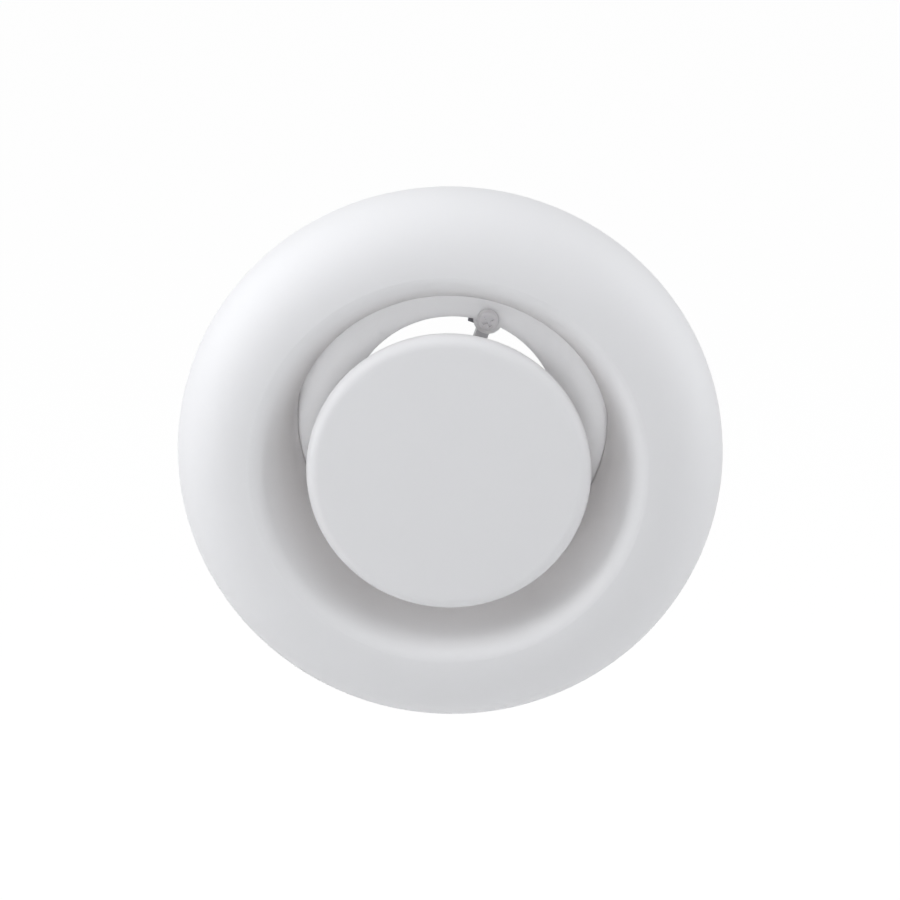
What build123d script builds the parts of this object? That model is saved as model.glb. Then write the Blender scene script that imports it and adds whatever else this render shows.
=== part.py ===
"""Extract air valve for a nominal 100 mm duct: a bell-mouth face ring, a neck with an inner flange, a
three-arm bridge behind it and a round disc that screws in and out on a spindle to set the air flow.

Each profile is drawn in the valve's own axes: r is the radius and a the distance along the axis,
positive out into the room, zero on the wall plane. The finished solids are turned so that the
face looks along -Y, X runs to the right and +Z is up. Millimetres throughout.
"""
import os
from math import asin, cos, degrees, hypot, pi

from build123d import *

# face ring
RING_R = 75.0            # outer radius of the face ring
RIM_A = 4.5              # height of the widest point of the rim above the wall plane
RIM_FOOT = 1.2           # how far the rim turns in towards the wall plane
CREST_R = 54.2           # radius of the foremost circle of the ring
CREST_A = 24.0           # height of that circle above the wall plane
THROAT_R = 44.3          # inner radius of the throat and the neck
THROAT_A = -8.0          # where the bell-mouth has narrowed to the throat
WALL = 2.0               # moulded wall of the ring

# neck and inner flange
NECK_WALL = 2.2          # wall of the neck, which goes into the mounting collar of a 100 mm duct
NECK_END_A = -46.0       # rear end of the neck
NECK_LEAD = 0.8          # lead-in chamfer on the rear end
FLANGE_A = -31.5         # front face of the inner flange
FLANGE_T = 2.2           # thickness of the inner flange
FLANGE_R = 30.0          # radius of the air opening in the inner flange
FLANGE_GAP = 0.3         # between the inner flange and the wall of the neck
LEDGE_W = 2.0            # ledge in the neck that carries the inner flange
LEDGE_T = 1.6

# ribs behind the face ring
RIB_COUNT = 12
RIB_T = 1.6
RIB_START = 15.0         # angle of the first rib
RIB_BACK_A = 3.0         # plane of the ribs' rear edges, which carry the gasket

# ears of the inner flange that hold the bridge
ARM_ANGLES = (71.0, 191.0, 311.0)
EAR_R = 30.8             # radius of the circle through the ear centres
EAR_W = 8.4              # width of an ear
SCREW_HOLE_R = 1.7       # clearance hole for the arm screws

# bridge
HUB_R = 10.0
HUB_FLARE = 2.5          # fillet where an arm meets the hub
HUB_L = 11.7             # length of the hub along the axis
ARM_W = 3.6              # thickness of an arm, seen from the front
ARM_DEPTH = 8.0          # depth of an arm along the axis
PAD_R = 4.0              # rounded pad at the end of an arm
PAD_T = 4.0              # thickness of that pad
BUSH_R = 7.0             # outer radius of the threaded bush in the hub
BUSH_FLANGE_R = 8.6
BUSH_FLANGE_T = 1.2
PRESS_CLEAR = 0.02       # between a pressed or glued piece and its seat

# clip nuts and screws
CLIP_T = 0.6             # spring steel of a clip nut
CLIP_W = 5.6             # width of a clip nut, along the arm
CLIP_REACH = 3.4         # how far its legs reach past the screw
CLIP_ROUND = 0.9         # rounding of its bend, as a share of the steel
THREAD_HOLE_R = 1.55
SCREW_R = 1.5
SCREW_HEAD_R = 3.1
SCREW_HEAD_T = 2.1
SCREW_HEAD_ROUND = 0.6   # rounding of the head, as a share of its height
SCREW_TIP = 2.6          # length of screw behind the clip
SCREW_POINT_R = 0.3
RECESS_W = 0.9           # cross recess in the screw head
RECESS_L = 3.4
RECESS_DEPTH = 1.1
RECESS_TURN = 45.0       # angle of the recess to the arm

# spindle, lock nut and washer
SPINDLE_R = 5.0
SPINDLE_RUN = 0.05       # radial play of the spindle in the bush and the nut
SPINDLE_TAIL = 14.0      # length of spindle behind the hub
SPINDLE_CHAMFER = 1.0
SPINDLE_SLOT_W = 1.6     # screwdriver slot in the rear end
SPINDLE_SLOT_DEPTH = 2.2
WASHER_R = 9.4
WASHER_T = 1.0
NUT_AF = 17.0            # across the flats of the lock nut
NUT_T = 6.0
NUT_CHAMFER = 1.2        # how far the chamfer cuts into a corner
NUT_SLOPE = 0.55         # height of that chamfer for each millimetre it cuts in
NUT_SPARE = 0.1          # between a corner and the blank that the chamfer is turned on

# valve disc
DISC_R = 38.6
DISC_FACE_A = 25.6       # front face of the disc as the valve is shown
DISC_DEPTH = 8.2         # front face to the rim of the skirt
DISC_EDGE_R = 3.4        # rounding of the front edge
DISC_WALL = 2.2
DISC_CUP_R = 1.8         # rounding inside that edge
BOSS_R = 8.6
BOSS_SHORT = 1.0         # the boss stops this far short of the skirt's rim
SOCKET_WALL = 2.4        # material left in front of the spindle
SPOKE_COUNT = 6
SPOKE_START = 30.0       # angle of the first spoke
SPOKE_T = 1.6
SPOKE_H = 3.6
SPOKE_SINK = 0.5         # how far a spoke runs into the boss

# gasket on the wall side
GASKET_EDGE = 5.0        # from the edge of the ring to the gasket
GASKET_W = 12.0          # width of the gasket

# sizes and places that follow from those above
NECK_OD_R = THROAT_R + NECK_WALL
FLANGE_REAR_A = FLANGE_A - FLANGE_T
PAD_FRONT_A = FLANGE_REAR_A - CLIP_T
CLIP_REAR_A = PAD_FRONT_A - PAD_T - CLIP_T
HUB_REAR_A = PAD_FRONT_A - HUB_L
SPINDLE_REAR_A = HUB_REAR_A - SPINDLE_TAIL
SKIRT_A = DISC_FACE_A - DISC_DEPTH
GASKET_OUT_R = RING_R - GASKET_EDGE

PAST = 1.0               # how far a cut runs past what it cuts
SAME = 0.025             # edges this close to a radius count as lying on it
FACE_FORWARD = Rot(90, 0, 0)


def rod(radius, low, high, x=0.0):
    """Round bar along the axis, between two heights."""
    return Pos(x, 0, low) * Cylinder(radius, high - low, align=(Align.CENTER, Align.CENTER, Align.MIN))


def ring(inner, outer, low, high):
    """Plain ring between two radii and two heights."""
    return rod(outer, low, high) - rod(inner, low, high)


def block(x0, x1, y0, y1, a0, a1):
    """Rectangular block from its limits."""
    size = Box(x1 - x0, y1 - y0, a1 - a0, align=(Align.MIN, Align.MIN, Align.MIN))
    return Pos(x0, y0, a0) * size


def at_arm(angle, shape):
    """Turns a shape drawn on the +X side to one arm's place."""
    return Rot(0, 0, angle) * shape


def mouth(offset, high, low):
    """Arc of the bell-mouth's inner quarter ellipse, offset inwards, from one height down to another."""
    width = CREST_R - THROAT_R - offset
    rise = CREST_A - offset - THROAT_A
    start = 180 - degrees(asin((high - THROAT_A) / rise))
    end = 180 - degrees(asin((low - THROAT_A) / rise))
    return EllipticalCenterArc((CREST_R, THROAT_A), width, rise, start_angle=start, arc_size=end - start)


def bell(offset, low):
    """Section of the bell-mouth, offset inwards: quarter ellipses that meet at the crest."""
    width = RING_R - CREST_R - offset
    outer = EllipticalCenterArc((CREST_R, RIM_A), width, CREST_A - RIM_A - offset, start_angle=0, arc_size=90)
    return outer, mouth(offset, CREST_A - offset, low)


def make_face_ring():
    """Bell-mouth shell in front of the wall plane, with ribs behind it."""
    front_out, front_in = bell(0.0, 0.0)
    back_out, back_in = bell(WALL, 0.0)
    foot_in = (RING_R - WALL - RIM_FOOT, 0)
    foot_out = (RING_R - RIM_FOOT, 0)
    joint = Line(front_in @ 1, back_in @ 1)
    foot = Polyline(back_out @ 0, foot_in, foot_out, front_out @ 0)
    shell = revolve(Plane.XZ * make_face([front_out, front_in, joint, back_in, back_out, foot]), Axis.Z)
    core_out, core_in = bell(WALL / 2, RIB_BACK_A)
    edge = Polyline(core_in @ 1, (RING_R - WALL - RIM_FOOT / 2, RIB_BACK_A), core_out @ 0)
    filled = revolve(Plane.XZ * make_face([core_out, core_in, edge]), Axis.Z)
    blade = block(THROAT_R, RING_R, -RIB_T / 2, RIB_T / 2, 0, CREST_A)
    blades = Compound([Rot(0, 0, RIB_START + i * 360 / RIB_COUNT) * blade for i in range(RIB_COUNT)])
    return shell + (filled & blades)


def make_neck():
    """Tube behind the wall plane that goes on from the bell-mouth, with a ledge for the inner flange."""
    entry = mouth(0.0, 0.0, THROAT_A)
    wall = Polyline(
        entry @ 1,
        (THROAT_R, FLANGE_REAR_A),
        (THROAT_R - LEDGE_W, FLANGE_REAR_A),
        (THROAT_R - LEDGE_W, FLANGE_REAR_A - LEDGE_T),
        (THROAT_R, FLANGE_REAR_A - LEDGE_T),
        (THROAT_R, NECK_END_A),
        (NECK_OD_R - NECK_LEAD, NECK_END_A),
        (NECK_OD_R, NECK_END_A + NECK_LEAD),
        (NECK_OD_R, 0),
        entry @ 0,
    )
    return revolve(Plane.XZ * make_face([entry, wall]), Axis.Z)


def make_inner_flange():
    """Flat ring on the neck's ledge, with ears that hold the bridge."""
    flange = ring(FLANGE_R, THROAT_R - FLANGE_GAP, FLANGE_REAR_A, FLANGE_A)
    half = EAR_W / 2
    ear = rod(half, FLANGE_REAR_A, FLANGE_A, EAR_R)
    ear += block(EAR_R, EAR_R + half, -half, half, FLANGE_REAR_A, FLANGE_A)
    hole = rod(SCREW_HOLE_R, FLANGE_REAR_A - PAST, FLANGE_A + PAST, EAR_R)
    flange += [at_arm(angle, ear) for angle in ARM_ANGLES]
    return flange - [at_arm(angle, hole) for angle in ARM_ANGLES]


def make_bridge():
    """Hub with three arms; each arm ends in a rounded pad behind an ear of the inner flange."""
    web_rear = PAD_FRONT_A - ARM_DEPTH
    pad_rear = PAD_FRONT_A - PAD_T
    web = block(0, EAR_R, -ARM_W / 2, ARM_W / 2, web_rear, PAD_FRONT_A)
    web -= block(EAR_R - PAD_R, EAR_R, -ARM_W, ARM_W, web_rear, pad_rear)
    arm = web + rod(PAD_R, pad_rear, PAD_FRONT_A, EAR_R)
    bridge = rod(HUB_R, HUB_REAR_A, PAD_FRONT_A) + [at_arm(angle, arm) for angle in ARM_ANGLES]
    upright = [edge for edge in bridge.edges().filter_by(Axis.Z) if edge.length > ARM_DEPTH / 2]
    roots = [edge for edge in upright if abs(hypot(edge.center().X, edge.center().Y) - HUB_R) < SAME]
    bridge = fillet(roots, HUB_FLARE)
    hole = rod(SCREW_HOLE_R, pad_rear - PAST, PAD_FRONT_A + PAST, EAR_R)
    bridge -= [at_arm(angle, hole) for angle in ARM_ANGLES]
    bridge -= rod(BUSH_R + PRESS_CLEAR, HUB_REAR_A - PAST, PAD_FRONT_A + PAST)
    return bridge - rod(BUSH_FLANGE_R + PRESS_CLEAR, PAD_FRONT_A - BUSH_FLANGE_T, PAD_FRONT_A + PAST)


def make_bush():
    """Flanged bush that takes the spindle's thread."""
    seat = PAD_FRONT_A - BUSH_FLANGE_T
    bush = rod(BUSH_R, HUB_REAR_A, seat) + rod(BUSH_FLANGE_R, seat, PAD_FRONT_A)
    return bush - rod(SPINDLE_R + SPINDLE_RUN, HUB_REAR_A - PAST, PAD_FRONT_A + PAST)


def make_clip(angle):
    """U-shaped spring-steel clip nut, pushed on to an arm's pad from the side."""
    front_leg = FLANGE_REAR_A - CLIP_T
    rear_leg = CLIP_REAR_A + CLIP_T
    bend = PAD_R + CLIP_T
    near = EAR_R - CLIP_W / 2
    far = EAR_R + CLIP_W / 2
    clip = block(near, far, -CLIP_REACH, bend + CLIP_T, CLIP_REAR_A, FLANGE_REAR_A)
    clip -= block(near - PAST, far + PAST, -CLIP_REACH - PAST, bend, rear_leg, front_leg)
    outer = [e for e in clip.edges().filter_by(Axis.X) if e.center().Y > bend + CLIP_T / 2]
    clip = fillet(outer, CLIP_T * CLIP_ROUND)
    clip -= rod(SCREW_HOLE_R, front_leg - PAST, FLANGE_REAR_A + PAST, EAR_R)
    clip -= rod(THREAD_HOLE_R, CLIP_REAR_A - PAST, rear_leg + PAST, EAR_R)
    return at_arm(angle, clip)


def make_screw(angle):
    """Pan-head screw through an ear, a pad and its clip nut."""
    top = FLANGE_A + SCREW_HEAD_T
    tip = CLIP_REAR_A - SCREW_TIP
    head = rod(SCREW_HEAD_R, FLANGE_A, top, EAR_R)
    head = fillet(head.edges().group_by(Axis.Z)[-1], SCREW_HEAD_T * SCREW_HEAD_ROUND)
    slot = block(-RECESS_L / 2, RECESS_L / 2, -RECESS_W / 2, RECESS_W / 2, 0, RECESS_DEPTH + PAST)
    for turn in (RECESS_TURN, RECESS_TURN + 90):
        head -= Pos(EAR_R, 0, top - RECESS_DEPTH) * Rot(0, 0, turn) * slot
    shank = rod(SCREW_R, tip + SCREW_R, FLANGE_A, EAR_R)
    cone = Cone(SCREW_POINT_R, SCREW_R, SCREW_R, align=(Align.CENTER, Align.CENTER, Align.MIN))
    return at_arm(angle, head + shank + Pos(EAR_R, 0, tip) * cone)


def make_spindle():
    """Threaded stem, drawn at its outer diameter, from the disc's boss to behind the lock nut."""
    stem = rod(SPINDLE_R, SPINDLE_REAR_A, DISC_FACE_A - SOCKET_WALL)
    stem = chamfer(stem.edges().group_by(Axis.Z)[0], SPINDLE_CHAMFER)
    reach = SPINDLE_R + PAST
    half = SPINDLE_SLOT_W / 2
    slot_end = SPINDLE_REAR_A + SPINDLE_SLOT_DEPTH
    return stem - block(-reach, reach, -half, half, SPINDLE_REAR_A - PAST, slot_end)


def make_washer():
    """Plain washer between the hub and the lock nut."""
    return ring(SPINDLE_R + SPINDLE_RUN, WASHER_R, HUB_REAR_A - WASHER_T, HUB_REAR_A)


def make_lock_nut():
    """Hexagonal lock nut with chamfered corners."""
    front = HUB_REAR_A - WASHER_T
    rear = front - NUT_T
    nut = Pos(0, 0, rear) * extrude(RegularPolygon(NUT_AF / 2, 6, major_radius=False), NUT_T)
    corner = NUT_AF / 2 / cos(pi / 6)
    blank = rod(corner + NUT_SPARE, rear, front)
    blank = chamfer(blank.edges().filter_by(GeomType.CIRCLE), NUT_CHAMFER * NUT_SLOPE, NUT_CHAMFER)
    return (nut & blank) - rod(SPINDLE_R + SPINDLE_RUN, rear - PAST, front + PAST)


def make_disc():
    """Dished disc: flat face, rounded edge and skirt, with a boss and spokes behind the face."""
    cup_a = DISC_FACE_A - DISC_WALL
    middle_a = DISC_FACE_A - DISC_WALL / 2
    disc = rod(DISC_R, SKIRT_A, DISC_FACE_A)
    disc = fillet(disc.edges().group_by(Axis.Z)[-1], DISC_EDGE_R)
    cup = rod(DISC_R - DISC_WALL, SKIRT_A - PAST, cup_a)
    disc -= fillet(cup.edges().group_by(Axis.Z)[-1], DISC_CUP_R)
    disc += rod(BOSS_R, SKIRT_A + BOSS_SHORT, middle_a)
    half = SPOKE_T / 2
    spoke = block(BOSS_R - SPOKE_SINK, DISC_R - DISC_WALL / 2, -half, half, cup_a - SPOKE_H, middle_a)
    disc += [Rot(0, 0, SPOKE_START + i * 360 / SPOKE_COUNT) * spoke for i in range(SPOKE_COUNT)]
    return disc - rod(SPINDLE_R + SPINDLE_RUN, SKIRT_A - PAST, DISC_FACE_A - SOCKET_WALL)


def make_gasket():
    """Foam ring on the ribs, flush with the wall plane."""
    return ring(GASKET_OUT_R - GASKET_W, GASKET_OUT_R, 0, RIB_BACK_A)


def main():
    nodes = {
        "face_ring": make_face_ring(),
        "neck": make_neck(),
        "inner_flange": make_inner_flange(),
        "bridge": make_bridge(),
        "hub_bush": make_bush(),
        "spindle": make_spindle(),
        "lock_washer": make_washer(),
        "lock_nut": make_lock_nut(),
        "valve_disc": make_disc(),
        "face_gasket": make_gasket(),
    }
    for place, angle in zip("abc", ARM_ANGLES):
        nodes["clip_nut_" + place] = make_clip(angle)
        nodes["arm_screw_" + place] = make_screw(angle)
    os.makedirs("parts", exist_ok=True)
    for name, solid in nodes.items():
        turned = FACE_FORWARD * solid
        turned.label = name
        export_step(turned, f"parts/{name}.step")


main()
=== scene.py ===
"""Looks of an extract air valve: its white mouldings, disc, fasteners, threaded spindle and foam gasket.

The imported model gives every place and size. Its face looks along -Y and its neck runs along +Y, so a
profile here is a list of (radius, y) points turned about the Y axis. The last operator sets up a pale
studio. Metres throughout.
"""

import math

import bmesh
import bpy
from bpy.props import FloatProperty, FloatVectorProperty, IntProperty, PointerProperty
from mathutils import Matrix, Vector


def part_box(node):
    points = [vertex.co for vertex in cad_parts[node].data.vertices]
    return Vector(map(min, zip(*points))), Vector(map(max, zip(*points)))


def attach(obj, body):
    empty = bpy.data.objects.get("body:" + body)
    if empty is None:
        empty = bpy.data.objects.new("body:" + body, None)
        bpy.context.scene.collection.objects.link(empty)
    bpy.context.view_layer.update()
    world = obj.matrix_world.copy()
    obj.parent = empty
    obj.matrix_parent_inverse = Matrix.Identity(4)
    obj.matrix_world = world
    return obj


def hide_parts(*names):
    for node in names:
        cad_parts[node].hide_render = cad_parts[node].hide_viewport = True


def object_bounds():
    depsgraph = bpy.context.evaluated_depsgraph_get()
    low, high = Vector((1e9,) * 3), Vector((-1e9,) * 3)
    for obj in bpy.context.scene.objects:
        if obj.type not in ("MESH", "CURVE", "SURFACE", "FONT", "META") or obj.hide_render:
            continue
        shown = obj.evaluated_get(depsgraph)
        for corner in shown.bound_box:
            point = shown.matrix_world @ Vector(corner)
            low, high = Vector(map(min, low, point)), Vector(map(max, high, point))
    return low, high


bl_info = {
    "name": "Extract air valve",
    "version": (1, 0, 0),
    "blender": (4, 5, 0),
    "location": "View3D > Sidebar > Air valve",
    "description": "Dresses the packed air valve and sets up its studio",
    "category": "Object",
}

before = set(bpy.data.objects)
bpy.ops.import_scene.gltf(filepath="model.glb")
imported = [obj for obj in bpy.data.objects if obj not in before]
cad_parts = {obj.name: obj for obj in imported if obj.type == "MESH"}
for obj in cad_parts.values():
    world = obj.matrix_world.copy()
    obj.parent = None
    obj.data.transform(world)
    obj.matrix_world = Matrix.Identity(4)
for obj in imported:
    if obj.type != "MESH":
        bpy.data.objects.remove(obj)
CAD_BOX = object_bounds()
MM = 0.001
WHITE_MOULDINGS = ("face_ring", "neck")
PLATED_PIECES = ("lock_washer", "lock_nut")
ARMS = ("a", "b", "c")

# Soft boxes round the valve: azimuth and elevation in degrees, distance and length of a side in metres
SOFT_BOXES = {
    "front": (0, 13, 1.3, 0.14),
    "left": (-88, 28, 1.1, 1.0),
    "right": (97, 20, 1.1, 1.0),
    "overhead": (0, 75, 1.1, 1.0),
    "back": (180, 0, 0.9, 0.25),
}
SENSOR = 36.0            # width of the camera's sensor in millimetres
NEAREST = 0.01           # the camera sees nothing closer than this
FLOOR_REACH = 6.0        # from the middle of the floor to its sides
FLOOR_GLOW = 1.05        # strength of the floor's own white
FLOOR_GLOW_SHARE = 0.94  # share of that white in what is seen; the rest is lit floor
DIFFUSE_BOUNCES = 8      # the throat is lit by light that bounces in it

# Noise in the finishes
MOTTLE_DETAIL = 3
GRAIN_DETAIL = 2
NOISE_MEAN = 0.5
RELIEF_DEPTH = 0.1 * MM  # depth of the fine relief at full strength

# Meshes
MERGE = 1e-6             # points closer than this are one point
CREASE = math.radians(32)  # an edge that turns by more than this stays crisp
RING_STEPS = 160         # facets round the gasket
CORNER_POINTS = 5        # points on each rounded corner of the gasket
CORNER_SHARE = 0.25      # radius of that corner against the gasket's thickness
SPARE_TURNS = 2          # turns of thread past each end, cut off again

# Where the thread's root ends and its crest begins and ends, as shares of the pitch
ROOT_END = 0.18
CREST_START = 0.40
CREST_END = 0.72


def colour_setting(name, description, default):
    """A colour that the user can change."""
    return FloatVectorProperty(
        name=name, description=description, subtype="COLOR", size=3, min=0, max=1, default=default
    )


def length_setting(name, description, default):
    """A length in metres that the user can change."""
    return FloatProperty(
        name=name, description=description, subtype="DISTANCE", unit="LENGTH", default=default, precision=5
    )


def angle_setting(name, description, default):
    """An angle that the user can change, given in degrees."""
    return FloatProperty(name=name, description=description, subtype="ANGLE", default=math.radians(default))


def share_setting(name, description, default):
    """A plain number from nought to one."""
    return FloatProperty(name=name, description=description, min=0, max=1, default=default)


def power_setting(name, default):
    """Power of a lamp in watts."""
    return FloatProperty(name=name, description="Power of that lamp", unit="POWER", default=default)


class ValveFinish(bpy.types.PropertyGroup):
    """Colours and gloss of the valve's pieces."""

    white: colour_setting("White plastic", "Colour of the ring, the neck and the disc", (0.92, 0.905, 0.90))
    # painted light: the flange is the same white plastic as the ring, given a lighter colour to stand in
    # for the light that reaches it
    flange: colour_setting("Flange white, lightened as painted light", "Colour of the inner flange", (0.97, 0.955, 0.95))
    white_rough: share_setting("White roughness", "Roughness of the white plastic", 0.5)
    flange_depth: length_setting("Flange depth", "How deep light spreads in the thin flange", 2.5 * MM)
    bridge: colour_setting("Bridge plastic", "Colour of the three-arm bridge", (0.72, 0.72, 0.73))
    steel: colour_setting("Plated steel", "Colour of the lock nut, washer and spindle", (0.66, 0.66, 0.68))
    zinc: colour_setting("Dull zinc", "Colour of the arm screws", (0.84, 0.83, 0.84))
    spring: colour_setting("Spring steel", "Colour of the clip nuts", (0.20, 0.20, 0.22))
    brass: colour_setting("Brass", "Colour of the threaded bush", (0.70, 0.52, 0.24))
    foam: colour_setting("Foam", "Colour of the gasket on the wall side", (0.62, 0.62, 0.62))


class ValveDisc(bpy.types.PropertyGroup):
    """Form of the disc behind its rounded edge."""

    edge: length_setting("Edge", "From the face to the widest point", 3.4 * MM)
    band: length_setting("Band", "Width of the outer band that leans in", 3.0 * MM)
    lean: angle_setting("Lean", "How far the skirt leans in towards the rear", 20.0)


class ValveThread(bpy.types.PropertyGroup):
    """Form of the spindle's thread and of its rear end."""

    pitch: length_setting("Pitch", "Distance between two turns of the thread", 4.0 * MM)
    depth: length_setting("Depth", "Depth of the thread", 1.1 * MM)
    steps: IntProperty(name="Steps", description="Facets round the spindle", default=40)
    chamfer: length_setting("Chamfer", "Chamfer on the rear end", 1.0 * MM)
    slot_width: length_setting("Slot width", "Width of the screwdriver slot", 1.6 * MM)
    slot_depth: length_setting("Slot depth", "Depth of the screwdriver slot", 2.2 * MM)


class ValveStage(bpy.types.PropertyGroup):
    """Camera, floor and lights."""

    distance: length_setting("Camera distance", "From the camera to the ring", 1.0)
    elevation: angle_setting("Camera height", "Angle above the axis", 16.0)
    azimuth: angle_setting("Camera side", "Angle to the right", 1.2)
    view_width: length_setting("View width", "Width of the picture at the ring", 247.8 * MM)
    aim_y: length_setting("Aim depth", "Depth of the point that the camera looks at", -4.5 * MM)
    aim_z: length_setting("Aim height", "Height of the point that the camera looks at", 1.0 * MM)
    floor_drop: length_setting("Floor drop", "From the ring's lowest point to the floor", 350 * MM)
    floor_colour: colour_setting("Floor", "Colour of the floor", (0.86, 0.86, 0.86))
    room_light: share_setting("Room light", "Strength of the even light", 0.01)
    lamp_colour: colour_setting("Lamp colour", "Slightly cool white of the lamps", (0.945, 0.968, 1.0))
    front_power: power_setting("Front light", 5.5)
    left_power: power_setting("Left light", 9.8)
    right_power: power_setting("Right light", 7.0)
    overhead_power: power_setting("Overhead light", 4.7)
    back_power: power_setting("Back light", 1.8)


# Shader groups that several finishes share


def add_node(tree, kind, **values):
    """Adds a shader node and sets its plain properties."""
    node = tree.nodes.new(kind)
    for key, value in values.items():
        setattr(node, key, value)
    return node


def new_group(name, inputs, outputs):
    """Empty shader node group with named sockets."""
    group = bpy.data.node_groups.new(name, "ShaderNodeTree")
    for label, kind in inputs:
        group.interface.new_socket(name=label, in_out="INPUT", socket_type=kind)
    for label, kind in outputs:
        group.interface.new_socket(name=label, in_out="OUTPUT", socket_type=kind)
    return group, group.nodes.new("NodeGroupInput"), group.nodes.new("NodeGroupOutput")


def mottle_group():
    """Slow drift of shade and gloss over a surface, as on any moulded or plated piece."""
    found = bpy.data.node_groups.get("surface_mottle")
    if found:
        return found
    group, given, result = new_group(
        "surface_mottle",
        (
            ("Colour", "NodeSocketColor"),
            ("Shade spread", "NodeSocketFloat"),
            ("Roughness", "NodeSocketFloat"),
            ("Roughness spread", "NodeSocketFloat"),
            ("Patch scale", "NodeSocketFloat"),
        ),
        (("Colour", "NodeSocketColor"), ("Roughness", "NodeSocketFloat")),
    )
    link = group.links.new
    place = add_node(group, "ShaderNodeTexCoord")
    noise = add_node(group, "ShaderNodeTexNoise")
    noise.inputs["Detail"].default_value = MOTTLE_DETAIL
    link(place.outputs["Object"], noise.inputs["Vector"])
    link(given.outputs["Patch scale"], noise.inputs["Scale"])
    centred = add_node(group, "ShaderNodeMath", operation="SUBTRACT")
    centred.inputs[1].default_value = NOISE_MEAN
    link(noise.outputs["Fac"], centred.inputs[0])
    shade = add_node(group, "ShaderNodeMath", operation="MULTIPLY_ADD")
    shade.inputs[2].default_value = 1.0
    link(centred.outputs[0], shade.inputs[0])
    link(given.outputs["Shade spread"], shade.inputs[1])
    tinted = add_node(group, "ShaderNodeVectorMath", operation="SCALE")
    link(given.outputs["Colour"], tinted.inputs[0])
    link(shade.outputs[0], tinted.inputs["Scale"])
    gloss = add_node(group, "ShaderNodeMath", operation="MULTIPLY_ADD")
    link(centred.outputs[0], gloss.inputs[0])
    link(given.outputs["Roughness spread"], gloss.inputs[1])
    link(given.outputs["Roughness"], gloss.inputs[2])
    link(tinted.outputs[0], result.inputs["Colour"])
    link(gloss.outputs[0], result.inputs["Roughness"])
    return group


def grain_group():
    """Fine relief: a noise that can be stretched along the axis, for mould skin, brushing or foam cells."""
    found = bpy.data.node_groups.get("fine_grain")
    if found:
        return found
    group, given, result = new_group(
        "fine_grain",
        (("Grain scale", "NodeSocketFloat"), ("Stretch", "NodeSocketVector"), ("Cells", "NodeSocketFloat")),
        (("Height", "NodeSocketFloat"),),
    )
    link = group.links.new
    place = add_node(group, "ShaderNodeTexCoord")
    stretched = add_node(group, "ShaderNodeVectorMath", operation="MULTIPLY")
    link(place.outputs["Object"], stretched.inputs[0])
    link(given.outputs["Stretch"], stretched.inputs[1])
    noise = add_node(group, "ShaderNodeTexNoise")
    noise.inputs["Detail"].default_value = GRAIN_DETAIL
    cells = add_node(group, "ShaderNodeTexVoronoi")
    blend = add_node(group, "ShaderNodeMix", data_type="FLOAT")
    for texture in (noise, cells):
        link(stretched.outputs[0], texture.inputs["Vector"])
        link(given.outputs["Grain scale"], texture.inputs["Scale"])
    link(given.outputs["Cells"], blend.inputs["Factor"])
    link(noise.outputs["Fac"], blend.inputs["A"])
    link(cells.outputs["Distance"], blend.inputs["B"])
    link(blend.outputs["Result"], result.inputs["Height"])
    return group


def finish_material(name, colour, roughness, metallic=0.0, spread=0.02, gloss_spread=0.06, patch=30.0,
                    grain=4000.0, stretch=(1, 1, 1), cells=0.0, relief=0.02, gloss=0.5, depth=0.0):
    """Principled material whose shade, gloss and relief come from the shared groups."""
    found = bpy.data.materials.get(name)
    if found:
        return found
    material = bpy.data.materials.new(name)
    material.use_nodes = True
    tree = material.node_tree
    shader = tree.nodes["Principled BSDF"]
    shader.inputs["Metallic"].default_value = metallic
    shader.inputs["Specular IOR Level"].default_value = gloss
    if depth:
        shader.inputs["Subsurface Weight"].default_value = 1
        shader.inputs["Subsurface Radius"].default_value = (1, 1, 1)
        shader.inputs["Subsurface Scale"].default_value = depth
    mottle = add_node(tree, "ShaderNodeGroup", node_tree=mottle_group())
    mottle.inputs["Colour"].default_value = (*colour, 1)
    mottle.inputs["Shade spread"].default_value = spread
    mottle.inputs["Roughness"].default_value = roughness
    mottle.inputs["Roughness spread"].default_value = gloss_spread
    mottle.inputs["Patch scale"].default_value = patch
    fine = add_node(tree, "ShaderNodeGroup", node_tree=grain_group())
    fine.inputs["Grain scale"].default_value = grain
    fine.inputs["Stretch"].default_value = stretch
    fine.inputs["Cells"].default_value = cells
    bump = add_node(tree, "ShaderNodeBump")
    bump.inputs["Strength"].default_value = relief
    bump.inputs["Distance"].default_value = RELIEF_DEPTH
    tree.links.new(mottle.outputs["Colour"], shader.inputs["Base Color"])
    tree.links.new(mottle.outputs["Roughness"], shader.inputs["Roughness"])
    tree.links.new(fine.outputs["Height"], bump.inputs["Height"])
    tree.links.new(bump.outputs["Normal"], shader.inputs["Normal"])
    return material


def satin_white(finish):
    """Smooth satin white of the ring, the neck and the disc."""
    return finish_material("satin_white", finish.white, finish.white_rough, spread=0.015, relief=0.015,
                           gloss=0.2)


def flange_white(finish):
    """White of the inner flange: the ring's white plastic painted lighter, as painted light for the light
    that reaches the flange in the throat; thin enough for light to come through.
    """
    return finish_material("flange_white", finish.flange, finish.white_rough, spread=0.015, relief=0.015,
                           gloss=0.2, depth=finish.flange_depth)


def matt_white(finish):
    """Slightly duller white of the bridge."""
    return finish_material("matt_white", finish.bridge, roughness=0.5, spread=0.03, relief=0.05, grain=2500)


def bright_zinc(finish):
    """Zinc plating with faint drawn lines along the axis."""
    return finish_material("bright_zinc", finish.steel, roughness=0.34, metallic=1, spread=0.12,
                           gloss_spread=0.15, patch=220, grain=1500, stretch=(1, 0.05, 1), relief=0.06)


def dull_zinc(finish):
    """Passivated zinc, which has lost most of its shine."""
    return finish_material("dull_zinc", finish.zinc, roughness=0.5, metallic=0.3, spread=0.1, patch=220,
                           grain=1500, relief=0.05)


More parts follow.
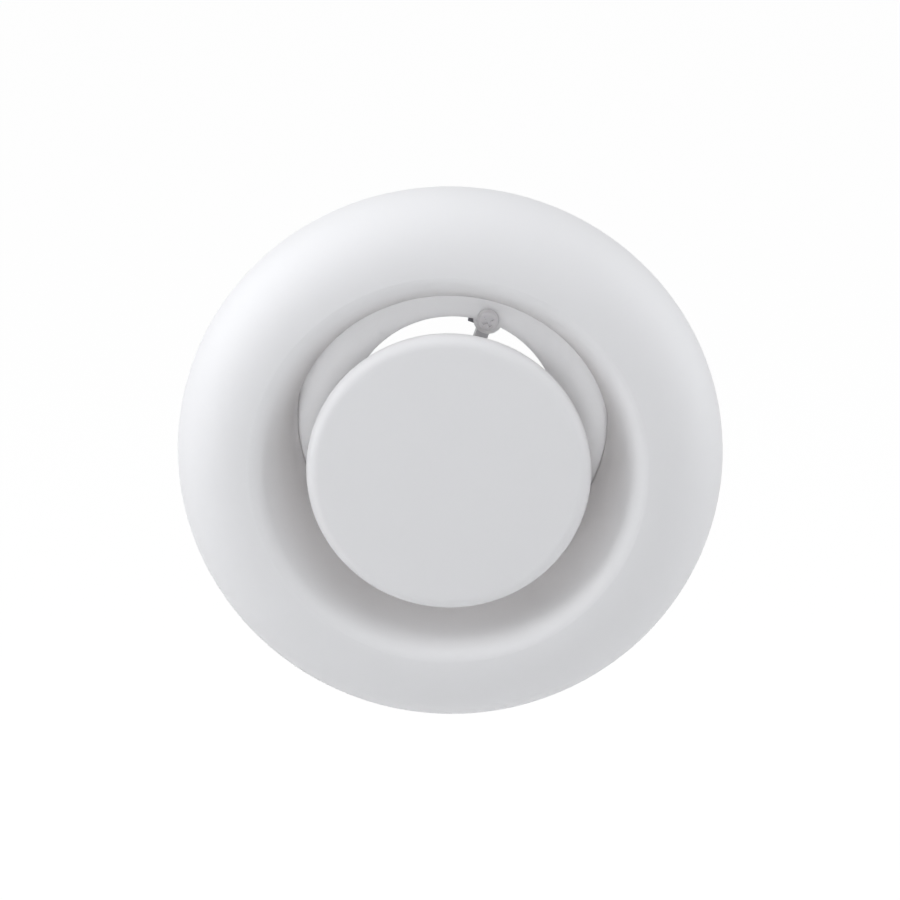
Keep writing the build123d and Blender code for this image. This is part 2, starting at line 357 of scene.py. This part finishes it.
def dark_spring(finish):
    """Dark tempered strip."""
    return finish_material("dark_spring", finish.spring, roughness=0.38, metallic=1, spread=0.2,
                           gloss_spread=0.12, patch=160, grain=2500, relief=0.05)


def turned_brass(finish):
    """Brass with lathe marks round the axis."""
    return finish_material("turned_brass", finish.brass, roughness=0.28, metallic=1, spread=0.1,
                           gloss_spread=0.1, patch=180, grain=900, stretch=(0.1, 3, 0.1), relief=0.08)


def cell_foam(finish):
    """Closed-cell foam."""
    return finish_material("cell_foam", finish.foam, roughness=0.9, spread=0.08, gloss_spread=0.05,
                           patch=90, grain=1300, cells=0.8, relief=0.6)


# Helpers for meshes


def smooth_by_angle(obj):
    """Smooth shading with crisp edges where the surface turns sharply."""
    mesh = obj.data
    mesh.polygons.foreach_set("use_smooth", [True] * len(mesh.polygons))
    mesh.set_sharp_from_angle(angle=CREASE)


def dress_node(name, material):
    """Gives a node of the model its material and smooth shading."""
    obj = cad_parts[name]
    obj.data.materials.clear()
    obj.data.materials.append(material)
    smooth_by_angle(obj)


def mesh_piece(name, builder, material):
    """New object from a bmesh."""
    mesh = bpy.data.meshes.new(name)
    bmesh.ops.recalc_face_normals(builder, faces=builder.faces)
    builder.to_mesh(mesh)
    builder.free()
    mesh.materials.append(material)
    obj = bpy.data.objects.new(name, mesh)
    bpy.context.scene.collection.objects.link(obj)
    return obj


def close_end(builder, y, outward):
    """Cuts a tube along Y off square and closes it there."""
    cut = bmesh.ops.bisect_plane(
        builder,
        geom=[*builder.verts, *builder.edges, *builder.faces],
        plane_co=(0, y, 0),
        plane_no=(0, outward, 0),
        clear_outer=True,
    )
    rim = [item for item in cut["geom_cut"] if isinstance(item, bmesh.types.BMEdge)]
    bmesh.ops.contextual_create(builder, geom=rim)


def cut_box(obj, centre, size):
    """Cuts a box out of a mesh object."""
    builder = bmesh.new()
    bmesh.ops.create_cube(builder, size=1)
    bmesh.ops.scale(builder, vec=size, verts=builder.verts)
    bmesh.ops.translate(builder, vec=centre, verts=builder.verts)
    cutter = mesh_piece("cutter", builder, obj.data.materials[0])
    cut = obj.modifiers.new("cut", "BOOLEAN")
    cut.operation = "DIFFERENCE"
    cut.object = cutter
    seen = obj.evaluated_get(bpy.context.evaluated_depsgraph_get())
    whole = obj.data
    obj.data = bpy.data.meshes.new_from_object(seen)
    obj.modifiers.clear()
    bpy.data.meshes.remove(whole)
    bpy.data.meshes.remove(cutter.data)


def turned_ring(name, profile, material):
    """Closed profile of (radius, y) points turned about the Y axis."""
    builder = bmesh.new()
    rings = []
    for i in range(RING_STEPS):
        turn = 2 * math.pi * i / RING_STEPS
        rings.append([builder.verts.new((r * math.cos(turn), y, r * math.sin(turn))) for r, y in profile])
    for here, there in zip(rings, rings[1:] + rings[:1]):
        for i in range(len(profile)):
            j = (i + 1) % len(profile)
            builder.faces.new((here[i], here[j], there[j], there[i]))
    return mesh_piece(name, builder, material)


def corner_points(centre, radius, start):
    """Points on a quarter circle of a profile; its start in degrees from the outward radius towards +Y."""
    points = []
    for i in range(CORNER_POINTS):
        turn = math.radians(start + 90 * i / (CORNER_POINTS - 1))
        points.append((centre[0] + radius * math.cos(turn), centre[1] + radius * math.sin(turn)))
    return points


# Pieces


class VALVE_OT_mouldings(bpy.types.Operator):
    """Dress the face ring, the neck, the inner flange and the bridge"""

    bl_idname = "valve.mouldings"
    bl_label = "Plastic mouldings"

    def execute(self, context):
        finish = context.scene.valve_finish
        for name in WHITE_MOULDINGS:
            dress_node(name, satin_white(finish))
        # the flange's lighter white is painted light
        dress_node("inner_flange", flange_white(finish))
        dress_node("bridge", matt_white(finish))
        return {"FINISHED"}


class VALVE_OT_disc(bpy.types.Operator):
    """Lean the disc's skirt in, so that it hides behind the edge"""

    bl_idname = "valve.disc"
    bl_label = "Disc"

    def execute(self, context):
        form = context.scene.valve_disc
        low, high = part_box("valve_disc")
        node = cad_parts["valve_disc"]
        builder = bmesh.new()
        builder.from_mesh(node.data)
        builder.transform(node.matrix_world)
        bmesh.ops.remove_doubles(builder, verts=builder.verts, dist=MERGE)
        for vertex in builder.verts:
            radius = math.hypot(vertex.co.x, vertex.co.z)
            behind = vertex.co.y - low.y - form.edge
            if behind > 0 and radius > high.x - form.band:
                share = 1 - behind * math.tan(form.lean) / radius
                vertex.co.x *= share
                vertex.co.z *= share
        piece = mesh_piece("leaning_disc", builder, satin_white(context.scene.valve_finish))
        # normals kept from the straight skirt would shade the leaning one wrongly
        own_normals = piece.data.attributes.get("custom_normal")
        if own_normals:
            piece.data.attributes.remove(own_normals)
        smooth_by_angle(piece)
        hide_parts("valve_disc")
        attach(piece, "disc")
        return {"FINISHED"}


class VALVE_OT_fasteners(bpy.types.Operator):
    """Dress the screws, clip nuts, washer, lock nut and bush"""

    bl_idname = "valve.fasteners"
    bl_label = "Fasteners"

    def execute(self, context):
        finish = context.scene.valve_finish
        for arm in ARMS:
            dress_node("arm_screw_" + arm, dull_zinc(finish))
            dress_node("clip_nut_" + arm, dark_spring(finish))
        for name in PLATED_PIECES:
            dress_node(name, bright_zinc(finish))
        dress_node("hub_bush", turned_brass(finish))
        return {"FINISHED"}


class VALVE_OT_spindle(bpy.types.Operator):
    """Cut the thread on the spindle and the slot in its rear end"""

    bl_idname = "valve.spindle"
    bl_label = "Threaded spindle"

    def execute(self, context):
        thread = context.scene.valve_thread
        low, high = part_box("spindle")
        radius = (high.x - low.x) / 2
        root = radius - thread.depth
        ridge = ((0.0, root), (ROOT_END, root), (CREST_START, radius), (CREST_END, radius))
        turns = math.ceil((high.y - low.y) / thread.pitch)
        builder = bmesh.new()
        rows = []
        for turn in range(-SPARE_TURNS, turns + SPARE_TURNS):
            for place, ridge_radius in ridge:
                row = []
                for step in range(thread.steps + 1):
                    part = step / thread.steps
                    y = low.y + (turn + place + part) * thread.pitch
                    past_end = min(y - high.y, thread.chamfer)
                    r = min(ridge_radius, radius - thread.chamfer - past_end)
                    round_turn = 2 * math.pi * part
                    row.append(builder.verts.new((r * math.cos(round_turn), y, -r * math.sin(round_turn))))
                rows.append(row)
        for here, there in zip(rows, rows[1:]):
            for i in range(thread.steps):
                builder.faces.new((here[i], here[i + 1], there[i + 1], there[i]))
        bmesh.ops.remove_doubles(builder, verts=builder.verts, dist=MERGE)
        close_end(builder, low.y, -1)
        close_end(builder, high.y, 1)
        piece = mesh_piece("spindle_thread", builder, bright_zinc(context.scene.valve_finish))
        # the slot's box reaches past both sides of the spindle, and half of it stands out of the end
        across = 2 * (high.x - low.x)
        cut_box(piece, Vector((0, high.y, 0)), Vector((across, 2 * thread.slot_depth, thread.slot_width)))
        smooth_by_angle(piece)
        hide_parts("spindle")
        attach(piece, "spindle")
        return {"FINISHED"}


class VALVE_OT_gasket(bpy.types.Operator):
    """Make the foam gasket on the wall side"""

    bl_idname = "valve.gasket"
    bl_label = "Foam gasket"

    def execute(self, context):
        low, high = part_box("face_gasket")
        outer = high.x
        inner = min(math.hypot(v.co.x, v.co.z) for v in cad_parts["face_gasket"].data.vertices)
        soft = (high.y - low.y) * CORNER_SHARE
        profile = []
        for centre, start in (
            ((outer - soft, high.y - soft), 0),
            ((inner + soft, high.y - soft), 90),
            ((inner + soft, low.y + soft), 180),
            ((outer - soft, low.y + soft), 270),
        ):
            profile += corner_points(centre, soft, start)
        piece = turned_ring("foam_gasket", profile, cell_foam(context.scene.valve_finish))
        smooth_by_angle(piece)
        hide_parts("face_gasket")
        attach(piece, "valve_body")
        return {"FINISHED"}


# Studio


def seen_rays(tree):
    """Socket that is 1 for what the camera sees, straight or in a reflection, and 0 for bounced light."""
    paths = add_node(tree, "ShaderNodeLightPath")
    seen = paths.outputs["Is Camera Ray"]
    for kind in ("Is Glossy Ray", "Is Transmission Ray"):
        either = add_node(tree, "ShaderNodeMath", operation="MAXIMUM")
        tree.links.new(seen, either.inputs[0])
        tree.links.new(paths.outputs[kind], either.inputs[1])
        seen = either.outputs[0]
    return seen


def floor_material(colour):
    """Pale floor: mostly plain white to the camera, with part of its own shading kept for the shadow."""
    material = bpy.data.materials.new("studio_floor")
    material.use_nodes = True
    tree = material.node_tree
    tree.nodes.clear()
    output = add_node(tree, "ShaderNodeOutputMaterial")
    matt = add_node(tree, "ShaderNodeBsdfDiffuse")
    matt.inputs["Color"].default_value = (*colour, 1)
    glow = add_node(tree, "ShaderNodeEmission")
    glow.inputs["Strength"].default_value = FLOOR_GLOW
    share = add_node(tree, "ShaderNodeMath", operation="MULTIPLY")
    share.inputs[1].default_value = FLOOR_GLOW_SHARE
    mix = add_node(tree, "ShaderNodeMixShader")
    link = tree.links.new
    link(seen_rays(tree), share.inputs[0])
    link(share.outputs[0], mix.inputs["Fac"])
    link(matt.outputs[0], mix.inputs[1])
    link(glow.outputs[0], mix.inputs[2])
    link(mix.outputs[0], output.inputs["Surface"])
    return material


def white_world(strength):
    """Even light all round, and plain white where the camera or a reflection looks past the floor."""
    world = bpy.data.worlds.new("studio")
    bpy.context.scene.world = world
    world.use_nodes = True
    tree = world.node_tree
    tree.nodes.clear()
    output = add_node(tree, "ShaderNodeOutputWorld")
    even = add_node(tree, "ShaderNodeBackground")
    even.inputs["Strength"].default_value = strength
    white = add_node(tree, "ShaderNodeBackground")
    mix = add_node(tree, "ShaderNodeMixShader")
    for background in (even, white):
        background.inputs["Color"].default_value = (1, 1, 1, 1)
    tree.links.new(seen_rays(tree), mix.inputs["Fac"])
    tree.links.new(even.outputs[0], mix.inputs[1])
    tree.links.new(white.outputs[0], mix.inputs[2])
    tree.links.new(mix.outputs[0], output.inputs["Surface"])


def direction(azimuth, elevation):
    """Unit vector from the valve; azimuth 0 is straight in front of it, and positive to the right."""
    level = math.cos(elevation)
    return Vector((math.sin(azimuth) * level, -math.cos(azimuth) * level, math.sin(elevation)))


def look_from(obj, aim, away, distance):
    """Places a lamp or a camera at a distance from a point and turns it to look at that point."""
    obj.location = aim + away * distance
    obj.rotation_euler = (-away).to_track_quat("-Z", "Y").to_euler()
    bpy.context.scene.collection.objects.link(obj)


def soft_box(name, aim, watts, colour):
    """Square soft lamp that looks at a point."""
    azimuth, elevation, distance, size = SOFT_BOXES[name]
    data = bpy.data.lights.new(name, "AREA")
    data.size = size
    data.energy = watts
    data.color = colour
    lamp = bpy.data.objects.new(name, data)
    look_from(lamp, aim, direction(math.radians(azimuth), math.radians(elevation)), distance)
    return lamp


class VALVE_OT_stage(bpy.types.Operator):
    """Set up the floor, the lights and the camera"""

    bl_idname = "valve.stage"
    bl_label = "Studio"

    def execute(self, context):
        scene = context.scene
        stage = scene.valve_stage
        builder = bmesh.new()
        bmesh.ops.create_grid(builder, x_segments=1, y_segments=1, size=FLOOR_REACH)
        floor = mesh_piece("floor", builder, floor_material(stage.floor_colour))
        floor.location.z = CAD_BOX[0][2] - stage.floor_drop
        white_world(stage.room_light)
        aim = Vector((0, stage.aim_y, stage.aim_z))
        for name in SOFT_BOXES:
            lamp = soft_box(name, aim, getattr(stage, name + "_power"), stage.lamp_colour)
            # the small front lamp would show as a bright spot on the disc
            lamp.visible_glossy = name != "front"
        lens = bpy.data.cameras.new("camera")
        lens.sensor_width = SENSOR
        lens.lens = SENSOR * stage.distance / stage.view_width
        lens.clip_start = NEAREST
        scene.camera = bpy.data.objects.new("camera", lens)
        look_from(scene.camera, aim, direction(stage.azimuth, stage.elevation), stage.distance)
        scene.view_settings.view_transform = "Standard"
        scene.cycles.diffuse_bounces = DIFFUSE_BOUNCES
        return {"FINISHED"}


class VALVE_PT_panel(bpy.types.Panel):
    """Lists the steps and the settings of the valve"""

    bl_idname = "VALVE_PT_panel"
    bl_label = "Extract air valve"
    bl_space_type = "VIEW_3D"
    bl_region_type = "UI"
    bl_category = "Air valve"

    def draw(self, context):
        layout = self.layout
        for step in STEPS:
            layout.operator(step.bl_idname)
        scene = context.scene
        for group in (scene.valve_finish, scene.valve_disc, scene.valve_thread, scene.valve_stage):
            box = layout.box()
            for key in group.__annotations__:
                box.prop(group, key)


STEPS = (
    VALVE_OT_mouldings,
    VALVE_OT_disc,
    VALVE_OT_fasteners,
    VALVE_OT_spindle,
    VALVE_OT_gasket,
    VALVE_OT_stage,
)
CLASSES = (ValveFinish, ValveDisc, ValveThread, ValveStage, *STEPS, VALVE_PT_panel)


def register():
    """Adds the settings, the operators and the panel to Blender."""
    for cls in CLASSES:
        bpy.utils.register_class(cls)
    bpy.types.Scene.valve_finish = PointerProperty(type=ValveFinish)
    bpy.types.Scene.valve_disc = PointerProperty(type=ValveDisc)
    bpy.types.Scene.valve_thread = PointerProperty(type=ValveThread)
    bpy.types.Scene.valve_stage = PointerProperty(type=ValveStage)


def unregister():
    """Takes them out again."""
    del bpy.types.Scene.valve_stage
    del bpy.types.Scene.valve_thread
    del bpy.types.Scene.valve_disc
    del bpy.types.Scene.valve_finish
    for cls in reversed(CLASSES):
        bpy.utils.unregister_class(cls)


def main():
    """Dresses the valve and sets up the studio."""
    register()
    bpy.ops.valve.mouldings()
    bpy.ops.valve.disc()
    bpy.ops.valve.fasteners()
    bpy.ops.valve.spindle()
    bpy.ops.valve.gasket()
    bpy.ops.valve.stage()


if __name__ == "__main__":
    main()
